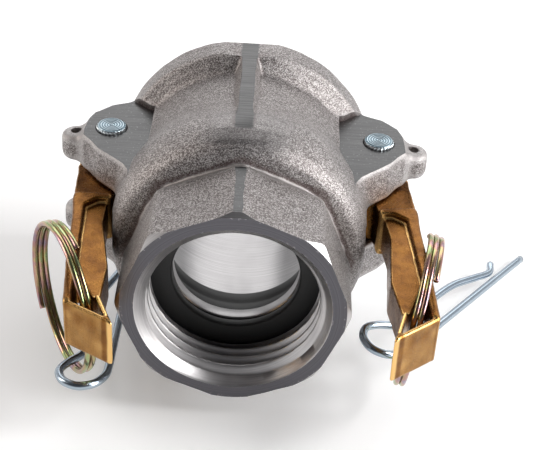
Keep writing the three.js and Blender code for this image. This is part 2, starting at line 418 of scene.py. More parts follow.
def bore_tool():
    """The hollow inside as a cutter: thread with its helix, gasket seat, throat, recess and socket."""
    around = 288
    profile = [(THREAD_ENTRY + 0.25, -1.0), (THREAD_ENTRY + 0.25, 0.0), (THREAD_ENTRY, 0.25),
               (THREAD_MINOR, 2.1)]
    first = len(profile)
    thread_end = THREAD_DEPTH - 1.0
    profile += [(THREAD_MINOR, y) for y in np.arange(2.2, thread_end, 0.09)]
    last = len(profile)
    profile += [(THREAD_MINOR, thread_end), (SEAT_RADIUS, thread_end + 0.15), (SEAT_RADIUS, SEAT_END),
                (THROAT_RADIUS + 0.2, SEAT_END), (THROAT_RADIUS, 12.8), (THROAT_RADIUS, 14.9),
                (THROAT_RADIUS + 0.9, RECESS_START), (RECESS_RADIUS, RECESS_START),
                (RECESS_RADIUS, RECESS_END), (SOCKET_RADIUS, RECESS_END),
                (SOCKET_RADIUS, BODY_LENGTH - SOCKET_CHAMFER), (SOCKET_RADIUS + SOCKET_CHAMFER, BODY_LENGTH),
                (SOCKET_RADIUS + SOCKET_CHAMFER, BODY_LENGTH + 3)]
    points = []
    for row, (radius, y) in enumerate(profile):
        for k in range(around):
            turn = k / around
            r = radius
            if row < last:
                wave = (y / THREAD_PITCH - turn) % 1.0
                depth = max(0.0, 1 - abs(wave - 0.5) / 0.44)
                depth = depth * depth * (3 - 2 * depth) * 0.35 + depth * 0.65
                entry = THREAD_MINOR + (THREAD_MAJOR - THREAD_MINOR) * depth
                if first <= row or entry > radius:
                    r = max(radius, entry)
            points.append((r * math.sin(2 * math.pi * turn), y, r * math.cos(2 * math.pi * turn)))
    faces = grid_faces(len(profile), around)
    faces.append(tuple(range(around)))
    faces.append(tuple(range(len(points) - around, len(points)))[::-1])
    made = add_object("bore_tool", points, faces)
    outward(made)
    return made


def chamfer_tool():
    """What the lathe takes off the front of the octagon outside the thread face."""
    reach = OCTAGON_RADIUS + 3
    slope = 1.3 / (OCTAGON_RADIUS + 0.2 - FACE_RADIUS)
    outline = [(FACE_RADIUS, -2.5), (FACE_RADIUS, 0.0), (reach, (reach - FACE_RADIUS) * slope), (reach, -2.5)]
    return lathe_y("chamfer_tool", outline)


def flat_outline(side):
    """The plan of the milled flat on a boss: it stops along the waist and the flange."""
    inner = 17.9
    outline = [(inner, 30.5), (20.0, 26.2), (21, 20), (45, 20), (45, 60), (23.2, 60),
               (22.2, 48.7), (21.2, 48.1), (18.8, 45.9), (inner, 45.5)]
    return [(side * x, y) for x, y in outline]


def coupler_body():
    """The casting with its machined faces: ends, chamfer, ground strips, boss flats, pin bores and hollow."""
    field, low = body_field()
    body = surface("coupler_body_casting", field, low, BODY_VOXEL)
    big = 60
    cut(body, block("front_tool", -big, big, -10, 0, -big, big))
    cut(body, block("rear_tool", -big, big, BODY_LENGTH, BODY_LENGTH + 10, -big, big))
    cut(body, chamfer_tool())
    for side in (-1, 1):
        cut(body, block("ground_tool", -big, big, 5, big, *sorted((side * RIB_HEIGHT, side * 40))))
        corner = sorted((side * CORNER_FLAT, side * 23))
        cut(body, block("corner_tool", -6, 6, -5, OCTAGON_END - 0.9, *corner))
    for side in (-1, 1):
        for way in (-1, 1):
            cut(body, prism("mill_tool", flat_outline(side), *sorted((way * BOSS_HEIGHT, way * 18))))
        x, y = side * PIVOT.x, PIVOT.y
        cut(body, post("pin_tool", PIN_RADIUS + 0.25, x, y, -20, 20))
        cut(body, post("head_tool", PIN_HEAD_RADIUS + 0.12, x, y, PIN_TOP - 4.5, 20))
        cut(body, post("ear_tool", EAR_HOLE, side * EAR.x, EAR.y, -20, 20, 32))
    cut(body, bore_tool())
    mark_relief(body, field, low, BODY_VOXEL, 1.0)
    shade(body, 38)
    return body


# ---------------------------------------------------------------- cam levers

LEVER_VOXEL = 0.17
# Plan outlines of the left lever about its pivot, closed, with the arm towards -Y.
WEB = [(-5.7, -11.3), (-5.75, -13.2), (-5, -18.8), (-4.1, -32.2), (-2.8, -44), (-1.7, -43.5),
       (-2.3, -32), (-3, -18.8), (-3.2, -15), (-1.2, -13), (1.4, -12.8), (1.4, -11.3)]
EYE = [(-4.3, -26), (-2.8, -44), (6.2, -49.2), (3, -41.6), (2.05, -41.3), (4.45, -47.05),
       (-1.7, -43.5), (-2.6, -26)]
PANEL = [(-3.4, -12), (0.6, -12.5), (0.7, -19.5), (3.2, -32), (3, -42.6), (1.6, -40.9),
         (-2.4, -33), (-3, -18)]
NECK = [(-6.1, -1.5), (-6.1, -6), (-5.9, -9.6), (-5.6, -12), (1.4, -12), (1.7, -9), (5, -4)]
TAB_ALONG = (0.866, -0.5)    # the way the tab slants, in plan
TAB_END = 29.97              # how far the tab reaches that way
TAB_CORNER = 1.4
HEAD_RADIUS = 6.3
LOBE = (2.9, -1.5)
LOBE_RADIUS = 6.9


def raised(plan, z, half, rounding):
    """A plan field raised to +-half with its top and bottom edges rounded."""
    a = plan + rounding
    b = np.abs(z) - half + rounding
    outside = np.sqrt(np.maximum(a, 0) ** 2 + np.maximum(b, 0) ** 2)
    return np.minimum(np.maximum(a, b), 0) + outside - rounding


def lever_field():
    """The lever as cast: cam head, neck, outer rim, recessed panel and the box-like eye at its end."""
    low = np.array((-8.0, -51.0, -5.8))
    high = np.array((11.2, 9.0, 5.8))
    counts = np.ceil((high - low) / LEVER_VOXEL).astype(int)
    xs, ys, zs = (low[a] + LEVER_VOXEL * np.arange(counts[a]) for a in range(3))
    z = zs[None, None, :]

    def plan(outline, softened=2):
        table = polygon_distance(outline, xs[:, None], ys[None, :])
        return blurred(table, softened)[:, :, None]

    rim = raised(plan(WEB), z, LEVER_HALF, 0.45)
    eye = raised(plan(EYE, 1), z, LEVER_HALF, 0.75)
    reach = (TAB_ALONG[0] * xs[:, None] + TAB_ALONG[1] * ys[None, :])[:, :, None]
    past_end = reach - TAB_END + TAB_CORNER
    past_top = np.abs(z) - LEVER_HALF + TAB_CORNER
    corner = np.sqrt(np.maximum(past_end, 0) ** 2 + np.maximum(past_top, 0) ** 2) - TAB_CORNER
    eye = shared(eye, corner, 0.4)
    panel = raised(plan(PANEL), z, PANEL_HALF, 0.3)
    disc = np.hypot(xs[:, None], ys[None, :]) - HEAD_RADIUS
    lobe = np.hypot(xs[:, None] - LOBE[0], ys[None, :] - LOBE[1]) - LOBE_RADIUS
    neck = polygon_distance(NECK, xs[:, None], ys[None, :])
    head_plan = joined(joined(disc, lobe, 0.5), neck, 1.2)[:, :, None]
    head = raised(head_plan, z, HEAD_HALF, 0.35)
    arm = joined(joined(rim, eye, 0.5), panel, 0.6)
    cast = joined(head, arm, 0.5)
    cast = cast + grain(cast.shape, 12, 11, 0.022)
    return cast, low


def cam_levers():
    """Both levers from one casting, mirrored, the right one at the angle that it lies open at."""
    field, low = lever_field()
    levers = {}
    for name, side in (("left", -1), ("right", 1)):
        lever = surface("cam_lever_%s_casting" % name, field, low, LEVER_VOXEL)
        mark_relief(lever, field, low, LEVER_VOXEL, 0.4)
        cut(lever, post("bore_tool", PIN_RADIUS + 0.15, 0, 0, -20, 20))
        turn = Matrix.Rotation(math.radians(LEVER_OPEN[name]), 4, "Z")
        centre = Vector((side * PIVOT.x, PIVOT.y, 0)) * MM
        shift = Matrix.Translation(Vector(ORIGIN) * MM)
        mirror = Matrix.Diagonal((-side, 1, 1, 1))
        lever.data.transform(shift @ Matrix.Translation(centre) @ turn @ mirror @ shift.inverted())
        if side > 0:
            lever.data.flip_normals()
        shade(lever, 50)
        levers[name] = lever
    return levers


def sampled(field, places):
    """The field's values between its voxels, at fractional voxel places."""
    top = np.array(field.shape) - 2
    low = np.clip(np.floor(places).astype(int), 0, top)
    part = np.clip(places - low, 0, 1)
    total = np.zeros(len(places), np.float32)
    for corner in range(8):
        step = np.array([(corner >> a) & 1 for a in range(3)])
        weight = np.prod(np.where(step == 1, part, 1 - part), axis=1)
        at = low + step
        total += weight * field[at[:, 0], at[:, 1], at[:, 2]]
    return total


def mark_relief(made, field, low, voxel, reach):
    """Stores how deep in a hollow (cavity) and how near an outer edge each vertex lies, for painted shade in
    the hollows and a painted highlight along the edges.
    """
    mesh = made.data
    count = len(mesh.vertices)
    points = np.empty(count * 3)
    normals = np.empty(count * 3)
    mesh.vertices.foreach_get("co", points)
    mesh.vertices.foreach_get("normal", normals)
    points = points.reshape(-1, 3) / MM - ORIGIN
    normals = normals.reshape(-1, 3)
    outer = sampled(field, (points + normals * reach - low) / voxel)
    inner = sampled(field, (points - normals * reach - low) / voxel)
    for name, value in (("cavity", 1 - outer / reach), ("edge_nearness", 1 + inner / reach)):
        attribute = mesh.attributes.new(name, "FLOAT", "POINT")
        attribute.data.foreach_set("value", np.clip(value, 0, 1).astype(np.float32))


# ---------------------------------------------------------------- pins, gaskets, rings and clips

def pivot_pin(side):
    """A pin with a knurled head: a turned face with a small centre pip, a toothed rim and a plain shaft."""
    points_per_tooth = 6
    around = KNURL_TEETH * points_per_tooth
    top = PIN_TOP
    shaft_end = -BOSS_HEIGHT + 0.3
    # radius, height and how much of the knurl's depth each ring of points takes
    profile = [(0.35, top - 0.06, 0), (0.9, top - 0.05, 0), (1.7, top - 0.02, 0), (2.3, top, 0),
               (2.55, top - 0.05, 0.2), (PIN_HEAD_RADIUS - 0.1, top - 0.28, 0.8),
               (PIN_HEAD_RADIUS - 0.02, top - 0.5, 1), (PIN_HEAD_RADIUS - 0.02, top - 4.0, 1),
               (PIN_RADIUS, top - 4.2, 0), (PIN_RADIUS, shaft_end + 0.4, 0),
               (PIN_RADIUS - 0.35, shaft_end, 0)]
    pin_x = side * PIVOT.x
    points = [(pin_x, PIVOT.y, top - 0.02)]
    for radius, z, knurl in profile:
        for k in range(around):
            angle = 2 * math.pi * k / around
            tooth = abs((k / points_per_tooth) % 1 - 0.5) * 2
            r = radius - knurl * KNURL_DEPTH * (1 - tooth)
            points.append((pin_x + r * math.cos(angle), PIVOT.y + r * math.sin(angle), z))
    points.append((pin_x, PIVOT.y, shaft_end))
    rows = len(profile)
    faces = [tuple(1 + i for i in face) for face in grid_faces(rows, around)]
    faces += [(0, 1 + k, 1 + (k + 1) % around) for k in range(around)]
    base = 1 + (rows - 1) * around
    faces += [(len(points) - 1, base + (k + 1) % around, base + k) for k in range(around)]
    made = add_object("pivot_pin_%s_turned" % SIDE_NAME[side], points, faces, 35)
    outward(made)
    return made


def thread_gasket():
    """The flat gasket at the bottom of the thread, with its edges rounded."""
    outline = [(11.75, 10.32), (15.75, 10.32), (15.9, 10.5), (15.9, 12.1), (15.75, 12.28),
               (11.75, 12.28), (11.58, 12.1), (11.5, 11.7), (11.5, 10.9), (11.58, 10.5)]
    return lathe_y("thread_gasket_moulded", outline, 200, 40)


def cam_gasket():
    """The cam gasket: a square ring with a shallow groove in its face and rounded inner lips."""
    outline = [(13.9, 16.42), (19.5, 16.42), (19.72, 16.65), (19.72, 22.5), (19.5, 22.74),
               (17.6, 22.74), (17.4, 22.35), (16.2, 22.35), (16.0, 22.74), (14.0, 22.74), (13.6, 22.5),
               (13.5, 22.1), (13.5, 20.3), (13.62, 19.8), (13.62, 19.3), (13.5, 18.8), (13.5, 17.0),
               (13.6, 16.6)]
    return lathe_y("cam_gasket_moulded", outline, 200, 40)


RING_AXES = {"left": (0.88, 0.47, -0.01), "right": (1.03, -0.18, -0.12)}
RING_TURNS = {"left": 2.42, "right": 2.2}
RING_START = {"left": 226, "right": 316}   # degrees from the top, where the first end lies


def pull_ring(name):
    """A coil of spring wire, a little over two turns close together, not quite round."""
    low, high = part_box("pull_ring_%s" % name)
    centre = drawn((low + high) / 2)
    axis = Vector(RING_AXES[name]).normalized()
    up = (Vector((0, 0, 1)) - axis * axis.z).normalized()
    side = axis.cross(up)
    turns = RING_TURNS[name]
    steps = int(96 * turns)
    route = []
    for k in range(steps + 1):
        turn = turns * k / steps
        angle = 2 * math.pi * turn + math.radians(RING_START[name])
        radius = RING_RADIUS + 0.12 * math.sin(2.3 * angle)
        along = (turn - turns / 2) * RING_PITCH
        outwards = up * (radius * math.cos(angle)) + side * (radius * math.sin(angle))
        route.append(centre + axis * along + outwards)
    return tube("pull_ring_%s_coil" % name, route, RING_WIRE / 2, 20, 0.08)


# A hairpin drawn flat: the straight pin along X, the loop that the ring passes through, and the spring leg.
CLIP_ROUTE = [(52, 0), (40, 0), (28, 0), (16, 0), (6, 0), (2, 0), (-1.5, 0.3), (-4.5, 2), (-5.6, 4.6),
              (-4.4, 7.2), (-1.4, 8.4), (1.6, 7.4), (4.6, 5.4), (9, 4.5), (18, 4.9), (28, 4.6),
              (35, 3), (40, 2), (43, 3.2)]
# How each clip lies: its straight pin's direction, its upper side, and the point of the drawing on the joint.
CLIP_POSES = {"left": {"along": (-0.01, 0.964, -0.169), "up": (0.047, 0.174, 0.99), "held": (-0.28, 4.38)},
              "right": {"along": (0.543, 0.835, -0.17), "up": (0.167, -0.167, 0.981), "held": (5.24, 2.54)}}


def curve_through(points, per_span=6):
    """A Catmull-Rom curve through the points, by centripetal spacing."""
    points = [Vector(point) for point in points]
    padded = [2 * points[0] - points[1]] + points + [2 * points[-1] - points[-2]]
    route = []
    for p0, p1, p2, p3 in zip(padded, padded[1:], padded[2:], padded[3:]):
        t0 = 0.0
        t1 = t0 + (p1 - p0).length ** 0.5
        t2 = t1 + (p2 - p1).length ** 0.5
        t3 = t2 + (p3 - p2).length ** 0.5
        for step in range(per_span):
            t = t1 + (t2 - t1) * step / per_span
            a1 = p0.lerp(p1, (t - t0) / (t1 - t0))
            a2 = p1.lerp(p2, (t - t1) / (t2 - t1))
            a3 = p2.lerp(p3, (t - t2) / (t3 - t2))
            b1 = a1.lerp(a2, (t - t0) / (t2 - t0))
            b2 = a2.lerp(a3, (t - t1) / (t3 - t1))
            route.append(b1.lerp(b2, (t - t1) / (t2 - t1)))
    return route + [points[-1]]


def safety_clip(name):
    """A clip bent from one wire, held on its ring at the joint."""
    pose = CLIP_POSES[name]
    along = Vector(pose["along"]).normalized()
    across = Vector(pose["up"]).cross(along).normalized()
    held = drawn(joint_of["clip_%s_swing" % name]["pos_m"])
    start = held - along * pose["held"][0] - across * pose["held"][1]
    flat = curve_through([(x, y, 0) for x, y in CLIP_ROUTE])
    route = [start + along * point.x + across * point.y for point in flat]
    return tube("safety_clip_%s_wire" % name, route, CLIP_WIRE / 2, 22, 0.22)


# ---------------------------------------------------------------- materials

def material(name, metallic, roughness):
    """An empty material with its shader; gives the material, its node tree and the shader."""
    made = bpy.data.materials.new(name)
    made.use_nodes = True
    tree = made.node_tree
    tree.nodes.clear()
    output = tree.nodes.new("ShaderNodeOutputMaterial")
    shader = tree.nodes.new("ShaderNodeBsdfPrincipled")
    tree.links.new(shader.outputs[0], output.inputs[0])
    shader.inputs["Metallic"].default_value = metallic
    shader.inputs["Roughness"].default_value = roughness
    return made, tree, shader


def add(tree, kind, inputs, output=0, **settings):
    """A node with its settings and inputs, each a value or another node's socket; gives its output."""
    made = tree.nodes.new("ShaderNode" + kind)
    for key, setting in settings.items():
        setattr(made, key, setting)
    for key, given in inputs.items():
        if isinstance(given, bpy.types.NodeSocket):
            tree.links.new(given, made.inputs[key])
        else:
            made.inputs[key].default_value = given
    return made.outputs[output]


def place(tree, scale=(1, 1, 1)):
    """The point being shaded, in drawing millimetres, times a scale for each axis."""
    at = add(tree, "TexCoord", {}, "Object")
    about = add(tree, "VectorMath", {0: at, 1: (0, -FACE_Y * MM, -AXIS_Z * MM)}, operation="ADD")
    return add(tree, "VectorMath", {0: about, 1: tuple(s / MM for s in scale)}, operation="MULTIPLY")


def maths(tree, operation, a, b=0.0, clamp=False):
    return add(tree, "Math", {0: a, 1: b}, operation=operation, use_clamp=clamp)


def times(tree, a, b):
    return maths(tree, "MULTIPLY", a, b)


def plus(tree, a, b):
    return maths(tree, "ADD", a, b)


def between(tree, value, low, high):
    """0 below low, 1 above high, smooth between; low may be the greater."""
    inputs = {"Value": value, "From Min": low, "From Max": high}
    return add(tree, "MapRange", inputs, interpolation_type="SMOOTHSTEP")


def noise(tree, at, scale, detail=2.0, rough=0.5):
    """Smooth noise from 0 to 1 with scale lumps in each unit of at."""
    return add(tree, "TexNoise", {"Vector": at, "Scale": scale, "Detail": detail, "Roughness": rough}, "Fac")


def blend(tree, amount, a, b):
    """Colour a where amount is 0, b where it is 1."""
    return add(tree, "Mix", {0: amount, 6: a, 7: b}, 2, data_type="RGBA")


def blend_value(tree, amount, a, b):
    return add(tree, "Mix", {0: amount, 2: a, 3: b}, 0, data_type="FLOAT")


def ramp(tree, value, stops):
    """A colour for each value, between the stops."""
    made = tree.nodes.new("ShaderNodeValToRGB")
    tree.links.new(value, made.inputs[0])
    points = made.color_ramp.elements
    while len(points) < len(stops):
        points.new(0.5)
    for point, (position, colour) in zip(points, stops):
        point.position = position
        point.color = (*colour, 1)
    return made.outputs[0]


def bump(tree, height, depth):
    """A bump whose height of 1 stands depth millimetres high."""
    return add(tree, "Bump", {"Height": height, "Distance": depth * MM, "Strength": 1.0})


def stored(tree, name):
    """A value kept on the mesh's vertices."""
    return add(tree, "Attribute", {}, "Fac", attribute_name=name)


def finish_shader(tree, shader, colour, normal, roughness=None):
    tree.links.new(colour, shader.inputs["Base Color"])
    tree.links.new(normal, shader.inputs["Normal"])
    if roughness is not None:
        tree.links.new(roughness, shader.inputs["Roughness"])


def sized(tree, vector):
    return add(tree, "VectorMath", {0: vector}, "Value", operation="LENGTH")


def cast_aluminium():
    """Blasted cast skin: a fine sparkling grain, painted shade darkening the hollows, a painted highlight
    along the edges with some rubbed wear, and belt-ground on top of the barrel."""
    made, tree, shader = material("cast_aluminium_skin", 1.0, 0.45)
    at = place(tree)
    fine = noise(tree, at, 6.2, 3, 0.72)
    cells = add(tree, "TexVoronoi", {"Vector": at, "Scale": 6.2}, "Distance")
    glints = add(tree, "TexVoronoi", {"Vector": at, "Scale": 6.2}, "Color")
    glint = add(tree, "SeparateColor", {0: glints}, 0)
    slow = noise(tree, at, 0.16, 3, 0.55)
    cavity = between(tree, stored(tree, "cavity"), 0.03, 0.4)
    edge_nearness = between(tree, stored(tree, "edge_nearness"), 0.06, 0.3)
    sparkle = plus(tree, times(tree, fine, 0.65), times(tree, glint, 0.35))
    colour = ramp(tree, sparkle, [(0.36, (0.080, 0.069, 0.067)), (0.5, (0.23, 0.213, 0.207)),
                                  (0.66, (0.62, 0.595, 0.582))])
    colour = blend(tree, times(tree, slow, 0.35), colour, (0.25, 0.215, 0.21, 1))
    # painted shade: the hollows darkened towards brown-black
    colour = blend(tree, times(tree, cavity, 0.62), colour, (0.075, 0.045, 0.042, 1))
    # painted highlight: the outer edges lightened, with some rubbed wear
    colour = blend(tree, times(tree, edge_nearness, 0.42), colour, (0.66, 0.64, 0.63, 1))
    ground = belt_mask(tree)
    streaks = noise(tree, place(tree, (0.1, 5.5, 1)), 1.0, 3, 0.6)
    ground_colour = ramp(tree, streaks, [(0.3, (0.11, 0.105, 0.105)), (0.7, (0.27, 0.26, 0.255))])
    ground = times(tree, ground, 0.5)
    colour = blend(tree, ground, colour, ground_colour)
    strip = strip_mask(tree)
    strip_colour = ramp(tree, streaks, [(0.3, (0.06, 0.06, 0.061)), (0.7, (0.15, 0.148, 0.147))])
    colour = blend(tree, strip, colour, strip_colour)
    ground = maths(tree, "MAXIMUM", ground, strip)
    height = blend_value(tree, ground, plus(tree, fine, times(tree, cells, -0.6)),
                         times(tree, streaks, 0.35))
    glint_rough = add(tree, "MapRange", {"Value": glint, "To Min": 0.36, "To Max": 0.56})
    rough = blend_value(tree, ground, glint_rough, 0.42)
    finish_shader(tree, shader, colour, bump(tree, height, 0.065), rough)
    return made


def belt_mask(tree):
    """How far the belt grinder has dressed the skin: in streaks over the top and bottom of the barrel."""
    x, y, z = add(tree, "SeparateXYZ", {0: place(tree)}, 0).node.outputs
    wobble = times(tree, noise(tree, place(tree, (0.16, 2.4, 0.16)), 1.0, 4, 0.7), 9.0)
    across = plus(tree, maths(tree, "ABSOLUTE", maths(tree, "SUBTRACT", x, 1.2)), wobble)
    along = plus(tree, maths(tree, "ABSOLUTE", maths(tree, "SUBTRACT", y, 22.0)), wobble)
    touched = times(tree, between(tree, across, 14.5, 9.0), between(tree, along, 12.0, 8.0))
    return times(tree, touched, between(tree, maths(tree, "ABSOLUTE", z), 20.0, 22.5))


def strip_mask(tree):
    """1 on the narrow strip that is ground flat along the top of the rib and over the flange."""
    x, _, z = add(tree, "SeparateXYZ", {0: place(tree)}, 0).node.outputs
    wobble = times(tree, noise(tree, place(tree, (0.3, 3, 0.3)), 1.0, 3), 0.7)
    across = plus(tree, maths(tree, "ABSOLUTE", x), wobble)
    on_top = between(tree, z, RIB_HEIGHT - 0.2, RIB_HEIGHT - 0.05)
    return times(tree, between(tree, across, 2.2, 1.8), on_top)


def ground_aluminium():
    """Flats milled or belt-ground across: dark grey with fine straight streaks."""
    made, tree, shader = material("ground_aluminium", 1.0, 0.36)
    streaks = noise(tree, place(tree, (0.12, 6.5, 1)), 1.0, 3, 0.6)
    slow = noise(tree, place(tree), 0.3, 3, 0.6)
    speck = between(tree, noise(tree, place(tree), 2.2, 2, 0.6), 0.62, 0.72)
    colour = ramp(tree, streaks, [(0.25, (0.055, 0.055, 0.056)), (0.75, (0.125, 0.124, 0.124))])
    colour = blend(tree, times(tree, slow, 0.4), colour, (0.075, 0.075, 0.075, 1))
    colour = blend(tree, times(tree, speck, 0.5), colour, (0.26, 0.26, 0.26, 1))
    finish_shader(tree, shader, colour, bump(tree, streaks, 0.012))
    return made


def turned_aluminium():
    """The thread face and rear face: turned in fine rings, with small nicks along the edges."""
    made, tree, shader = material("turned_aluminium", 1.0, 0.33)
    flat = sized(tree, place(tree, (1, 0, 1)))
    around = place(tree)
    rings = noise(tree, add(tree, "CombineXYZ", {0: times(tree, flat, 5.0)}), 1.0, 4, 0.6)
    slow = noise(tree, around, 0.25, 3, 0.6)
    nicks = between(tree, noise(tree, around, 1.7, 3, 0.7), 0.58, 0.64)
    edge = maths(tree, "ADD", between(tree, flat, THREAD_ENTRY + 0.7, THREAD_ENTRY + 0.1),
                 between(tree, flat, FACE_RADIUS - 0.6, FACE_RADIUS - 0.1), clamp=True)
    colour = ramp(tree, rings, [(0.3, (0.075, 0.073, 0.082)), (0.7, (0.14, 0.136, 0.148))])
    colour = blend(tree, times(tree, slow, 0.4), colour, (0.11, 0.107, 0.12, 1))
    marks = times(tree, nicks, edge)
    colour = blend(tree, times(tree, marks, 0.6), colour, (0.60, 0.59, 0.61, 1))
    height = maths(tree, "SUBTRACT", times(tree, rings, 0.3), marks)
    finish_shader(tree, shader, colour, bump(tree, height, 0.03))
    return made


def bored_aluminium(name, roughness, dark, light):
    """Bored surfaces: bright between two levels of grey, with fine tool lines running round."""
    made, tree, shader = material(name, 1.0, roughness)
    lines = noise(tree, place(tree, (0.05, 7, 0.05)), 1.0, 4, 0.65)
    slow = noise(tree, place(tree, (1, 0.5, 1)), 0.12, 2, 0.5)
    colour = ramp(tree, lines, [(0.3, (dark, dark * 0.97, dark * 0.975)),
                                (0.7, (light, light * 0.975, light * 0.975))])
    shade_of_grey = (dark * 0.7, dark * 0.68, dark * 0.69, 1)
    colour = blend(tree, times(tree, between(tree, slow, 0.4, 0.8), 0.5), colour, shade_of_grey)
    finish_shader(tree, shader, colour, bump(tree, lines, 0.008))
    return made


def tumbled_brass():
    """Cast brass: golden brown, darker (painted shade) and rougher in the hollows, with a painted highlight
    on the edges, which are also polished by tumbling.
    """
    made, tree, shader = material("tumbled_brass", 1.0, 0.4)
    at = place(tree)
    fine = noise(tree, at, 4.2, 3, 0.6)
    slow = noise(tree, at, 0.32, 4, 0.6)
    cavity = between(tree, stored(tree, "cavity"), 0.02, 0.45)
    edge_nearness = between(tree, stored(tree, "edge_nearness"), 0.08, 0.42)
    colour = ramp(tree, slow, [(0.3, (0.13, 0.050, 0.010)), (0.5, (0.20, 0.082, 0.016)),
                               (0.72, (0.27, 0.120, 0.025))])
    # painted shade: the hollows darkened to near black-brown, broken up by the fine noise
    dark = times(tree, cavity, between(tree, fine, 0.2, 0.6))
    colour = blend(tree, times(tree, dark, 0.85), colour, (0.050, 0.020, 0.006, 1))
    # painted highlight: the edges lightened to bright gold, also standing for polish from tumbling
    colour = blend(tree, times(tree, edge_nearness, 0.8), colour, (0.92, 0.58, 0.22, 1))
    pits = between(tree, fine, 0.38, 0.6)
    height = plus(tree, times(tree, pits, 0.5), times(tree, slow, 0.12))
    rough = blend_value(tree, edge_nearness, blend_value(tree, pits, 0.36, 0.24), 0.18)
    finish_shader(tree, shader, colour, bump(tree, height, 0.022), rough)
    return made


def yellow_zinc():
    """Passivated spring wire: pale gold that drifts through green, rose and violet."""
    made, tree, shader = material("yellow_zinc_wire_finish", 1.0, 0.2)
    at = place(tree)
    drift = noise(tree, at, 0.24, 3, 0.55)
    around = stored(tree, "around")
    shift = plus(tree, times(tree, drift, 0.9), times(tree, around, 0.25))
    colour = ramp(tree, shift, [(0.25, (0.40, 0.36, 0.17)), (0.42, (0.50, 0.46, 0.19)),
                                (0.52, (0.31, 0.42, 0.20)), (0.62, (0.50, 0.36, 0.18)),
                                (0.72, (0.46, 0.24, 0.24)), (0.85, (0.30, 0.26, 0.36))])
    scratches = noise(tree, at, 3.0, 3, 0.6)
    colour = blend(tree, times(tree, scratches, 0.25), colour, (0.30, 0.26, 0.17, 1))
    rough = blend_value(tree, scratches, 0.12, 0.32)
    finish_shader(tree, shader, colour, bump(tree, scratches, 0.012), rough)
    return made


def bright_zinc(tint, roughness):
    """Plated wire: cold bright metal with faint drawing marks."""
    made, tree, shader = material("bright_zinc_wire", 1.0, roughness)
    at = place(tree)
    marks = noise(tree, at, 1.6, 4, 0.6)
    slow = noise(tree, at, 0.2, 2, 0.5)
    dull = (tint[0] * 0.6, tint[1] * 0.66, tint[2] * 0.7, 1)
    colour = blend(tree, times(tree, slow, 0.6), (*tint, 1), dull)
    rough = blend_value(tree, marks, roughness * 0.6, roughness * 1.7)
    finish_shader(tree, shader, colour, bump(tree, marks, 0.01), rough)
    return made


def turned_zinc():
    """The pin heads: plated, with the spiral that the turning tool left."""
    made, tree, shader = material("turned_zinc", 1.0, 0.3)
    at = add(tree, "VectorMath", {0: place(tree)}, operation="ABSOLUTE")
    from_pin = add(tree, "VectorMath", {0: at, 1: (-PIVOT.x, -PIVOT.y, 0)}, operation="ADD")
    parts = add(tree, "SeparateXYZ", {0: from_pin}, 0).node
    x, y = parts.outputs[0], parts.outputs[1]
    squared = plus(tree, times(tree, x, x), times(tree, y, y))
    radius = maths(tree, "SQRT", squared)
    angle = maths(tree, "ARCTAN2", y, x)
    wobble = times(tree, noise(tree, place(tree), 0.9, 2), 1.2)
    winding = plus(tree, times(tree, radius, 13.0), angle)
    spiral = maths(tree, "SINE", plus(tree, winding, wobble))
    dirt = noise(tree, place(tree), 2.0, 3, 0.6)
    colour = ramp(tree, spiral, [(0.0, (0.10, 0.15, 0.18)), (0.6, (0.28, 0.35, 0.39)),
                                 (1.0, (0.52, 0.60, 0.65))])
    colour = blend(tree, times(tree, dirt, 0.4), colour, (0.16, 0.20, 0.22, 1))
    facing_up = add(tree, "SeparateXYZ", {0: add(tree, "NewGeometry", {}, "Normal")}, 2)
    colour = blend(tree, between(tree, facing_up, 0.8, 0.4), colour, (0.80, 0.86, 0.89, 1))
    finish_shader(tree, shader, colour, bump(tree, spiral, 0.03))
    return made


def black_rubber(name, shade_of_grey):
    """Moulded rubber with a faint matt texture."""
    made, tree, shader = material(name, 0.0, 0.5)
    at = place(tree)
    fine = noise(tree, at, 3.5, 3, 0.6)
    g = shade_of_grey
    colour = ramp(tree, fine, [(0.3, (g * 0.8, g * 0.8, g * 0.82)), (0.7, (g * 1.5, g * 1.5, g * 1.5))])
    rough = blend_value(tree, fine, 0.42, 0.62)
    finish_shader(tree, shader, colour, bump(tree, fine, 0.01), rough)
    return made


def pale_floor():
    """Almost white paper, lifted a little so that the shadow stays light."""
    made, tree, shader = material("pale_floor", 0.0, 0.65)
    soft = noise(tree, place(tree), 0.01, 2)
    colour = ramp(tree, soft, [(0.3, (0.955, 0.955, 0.955)), (0.7, (0.97, 0.97, 0.97))])
    tree.links.new(colour, shader.inputs["Base Color"])
    shader.inputs["Emission Color"].default_value = (1, 1, 1, 1)
    shader.inputs["Emission Strength"].default_value = 0.13
    return made


# ---------------------------------------------------------------- finish of the body's faces

CAST, GROUND, TURNED, BORED, THREADED = range(5)


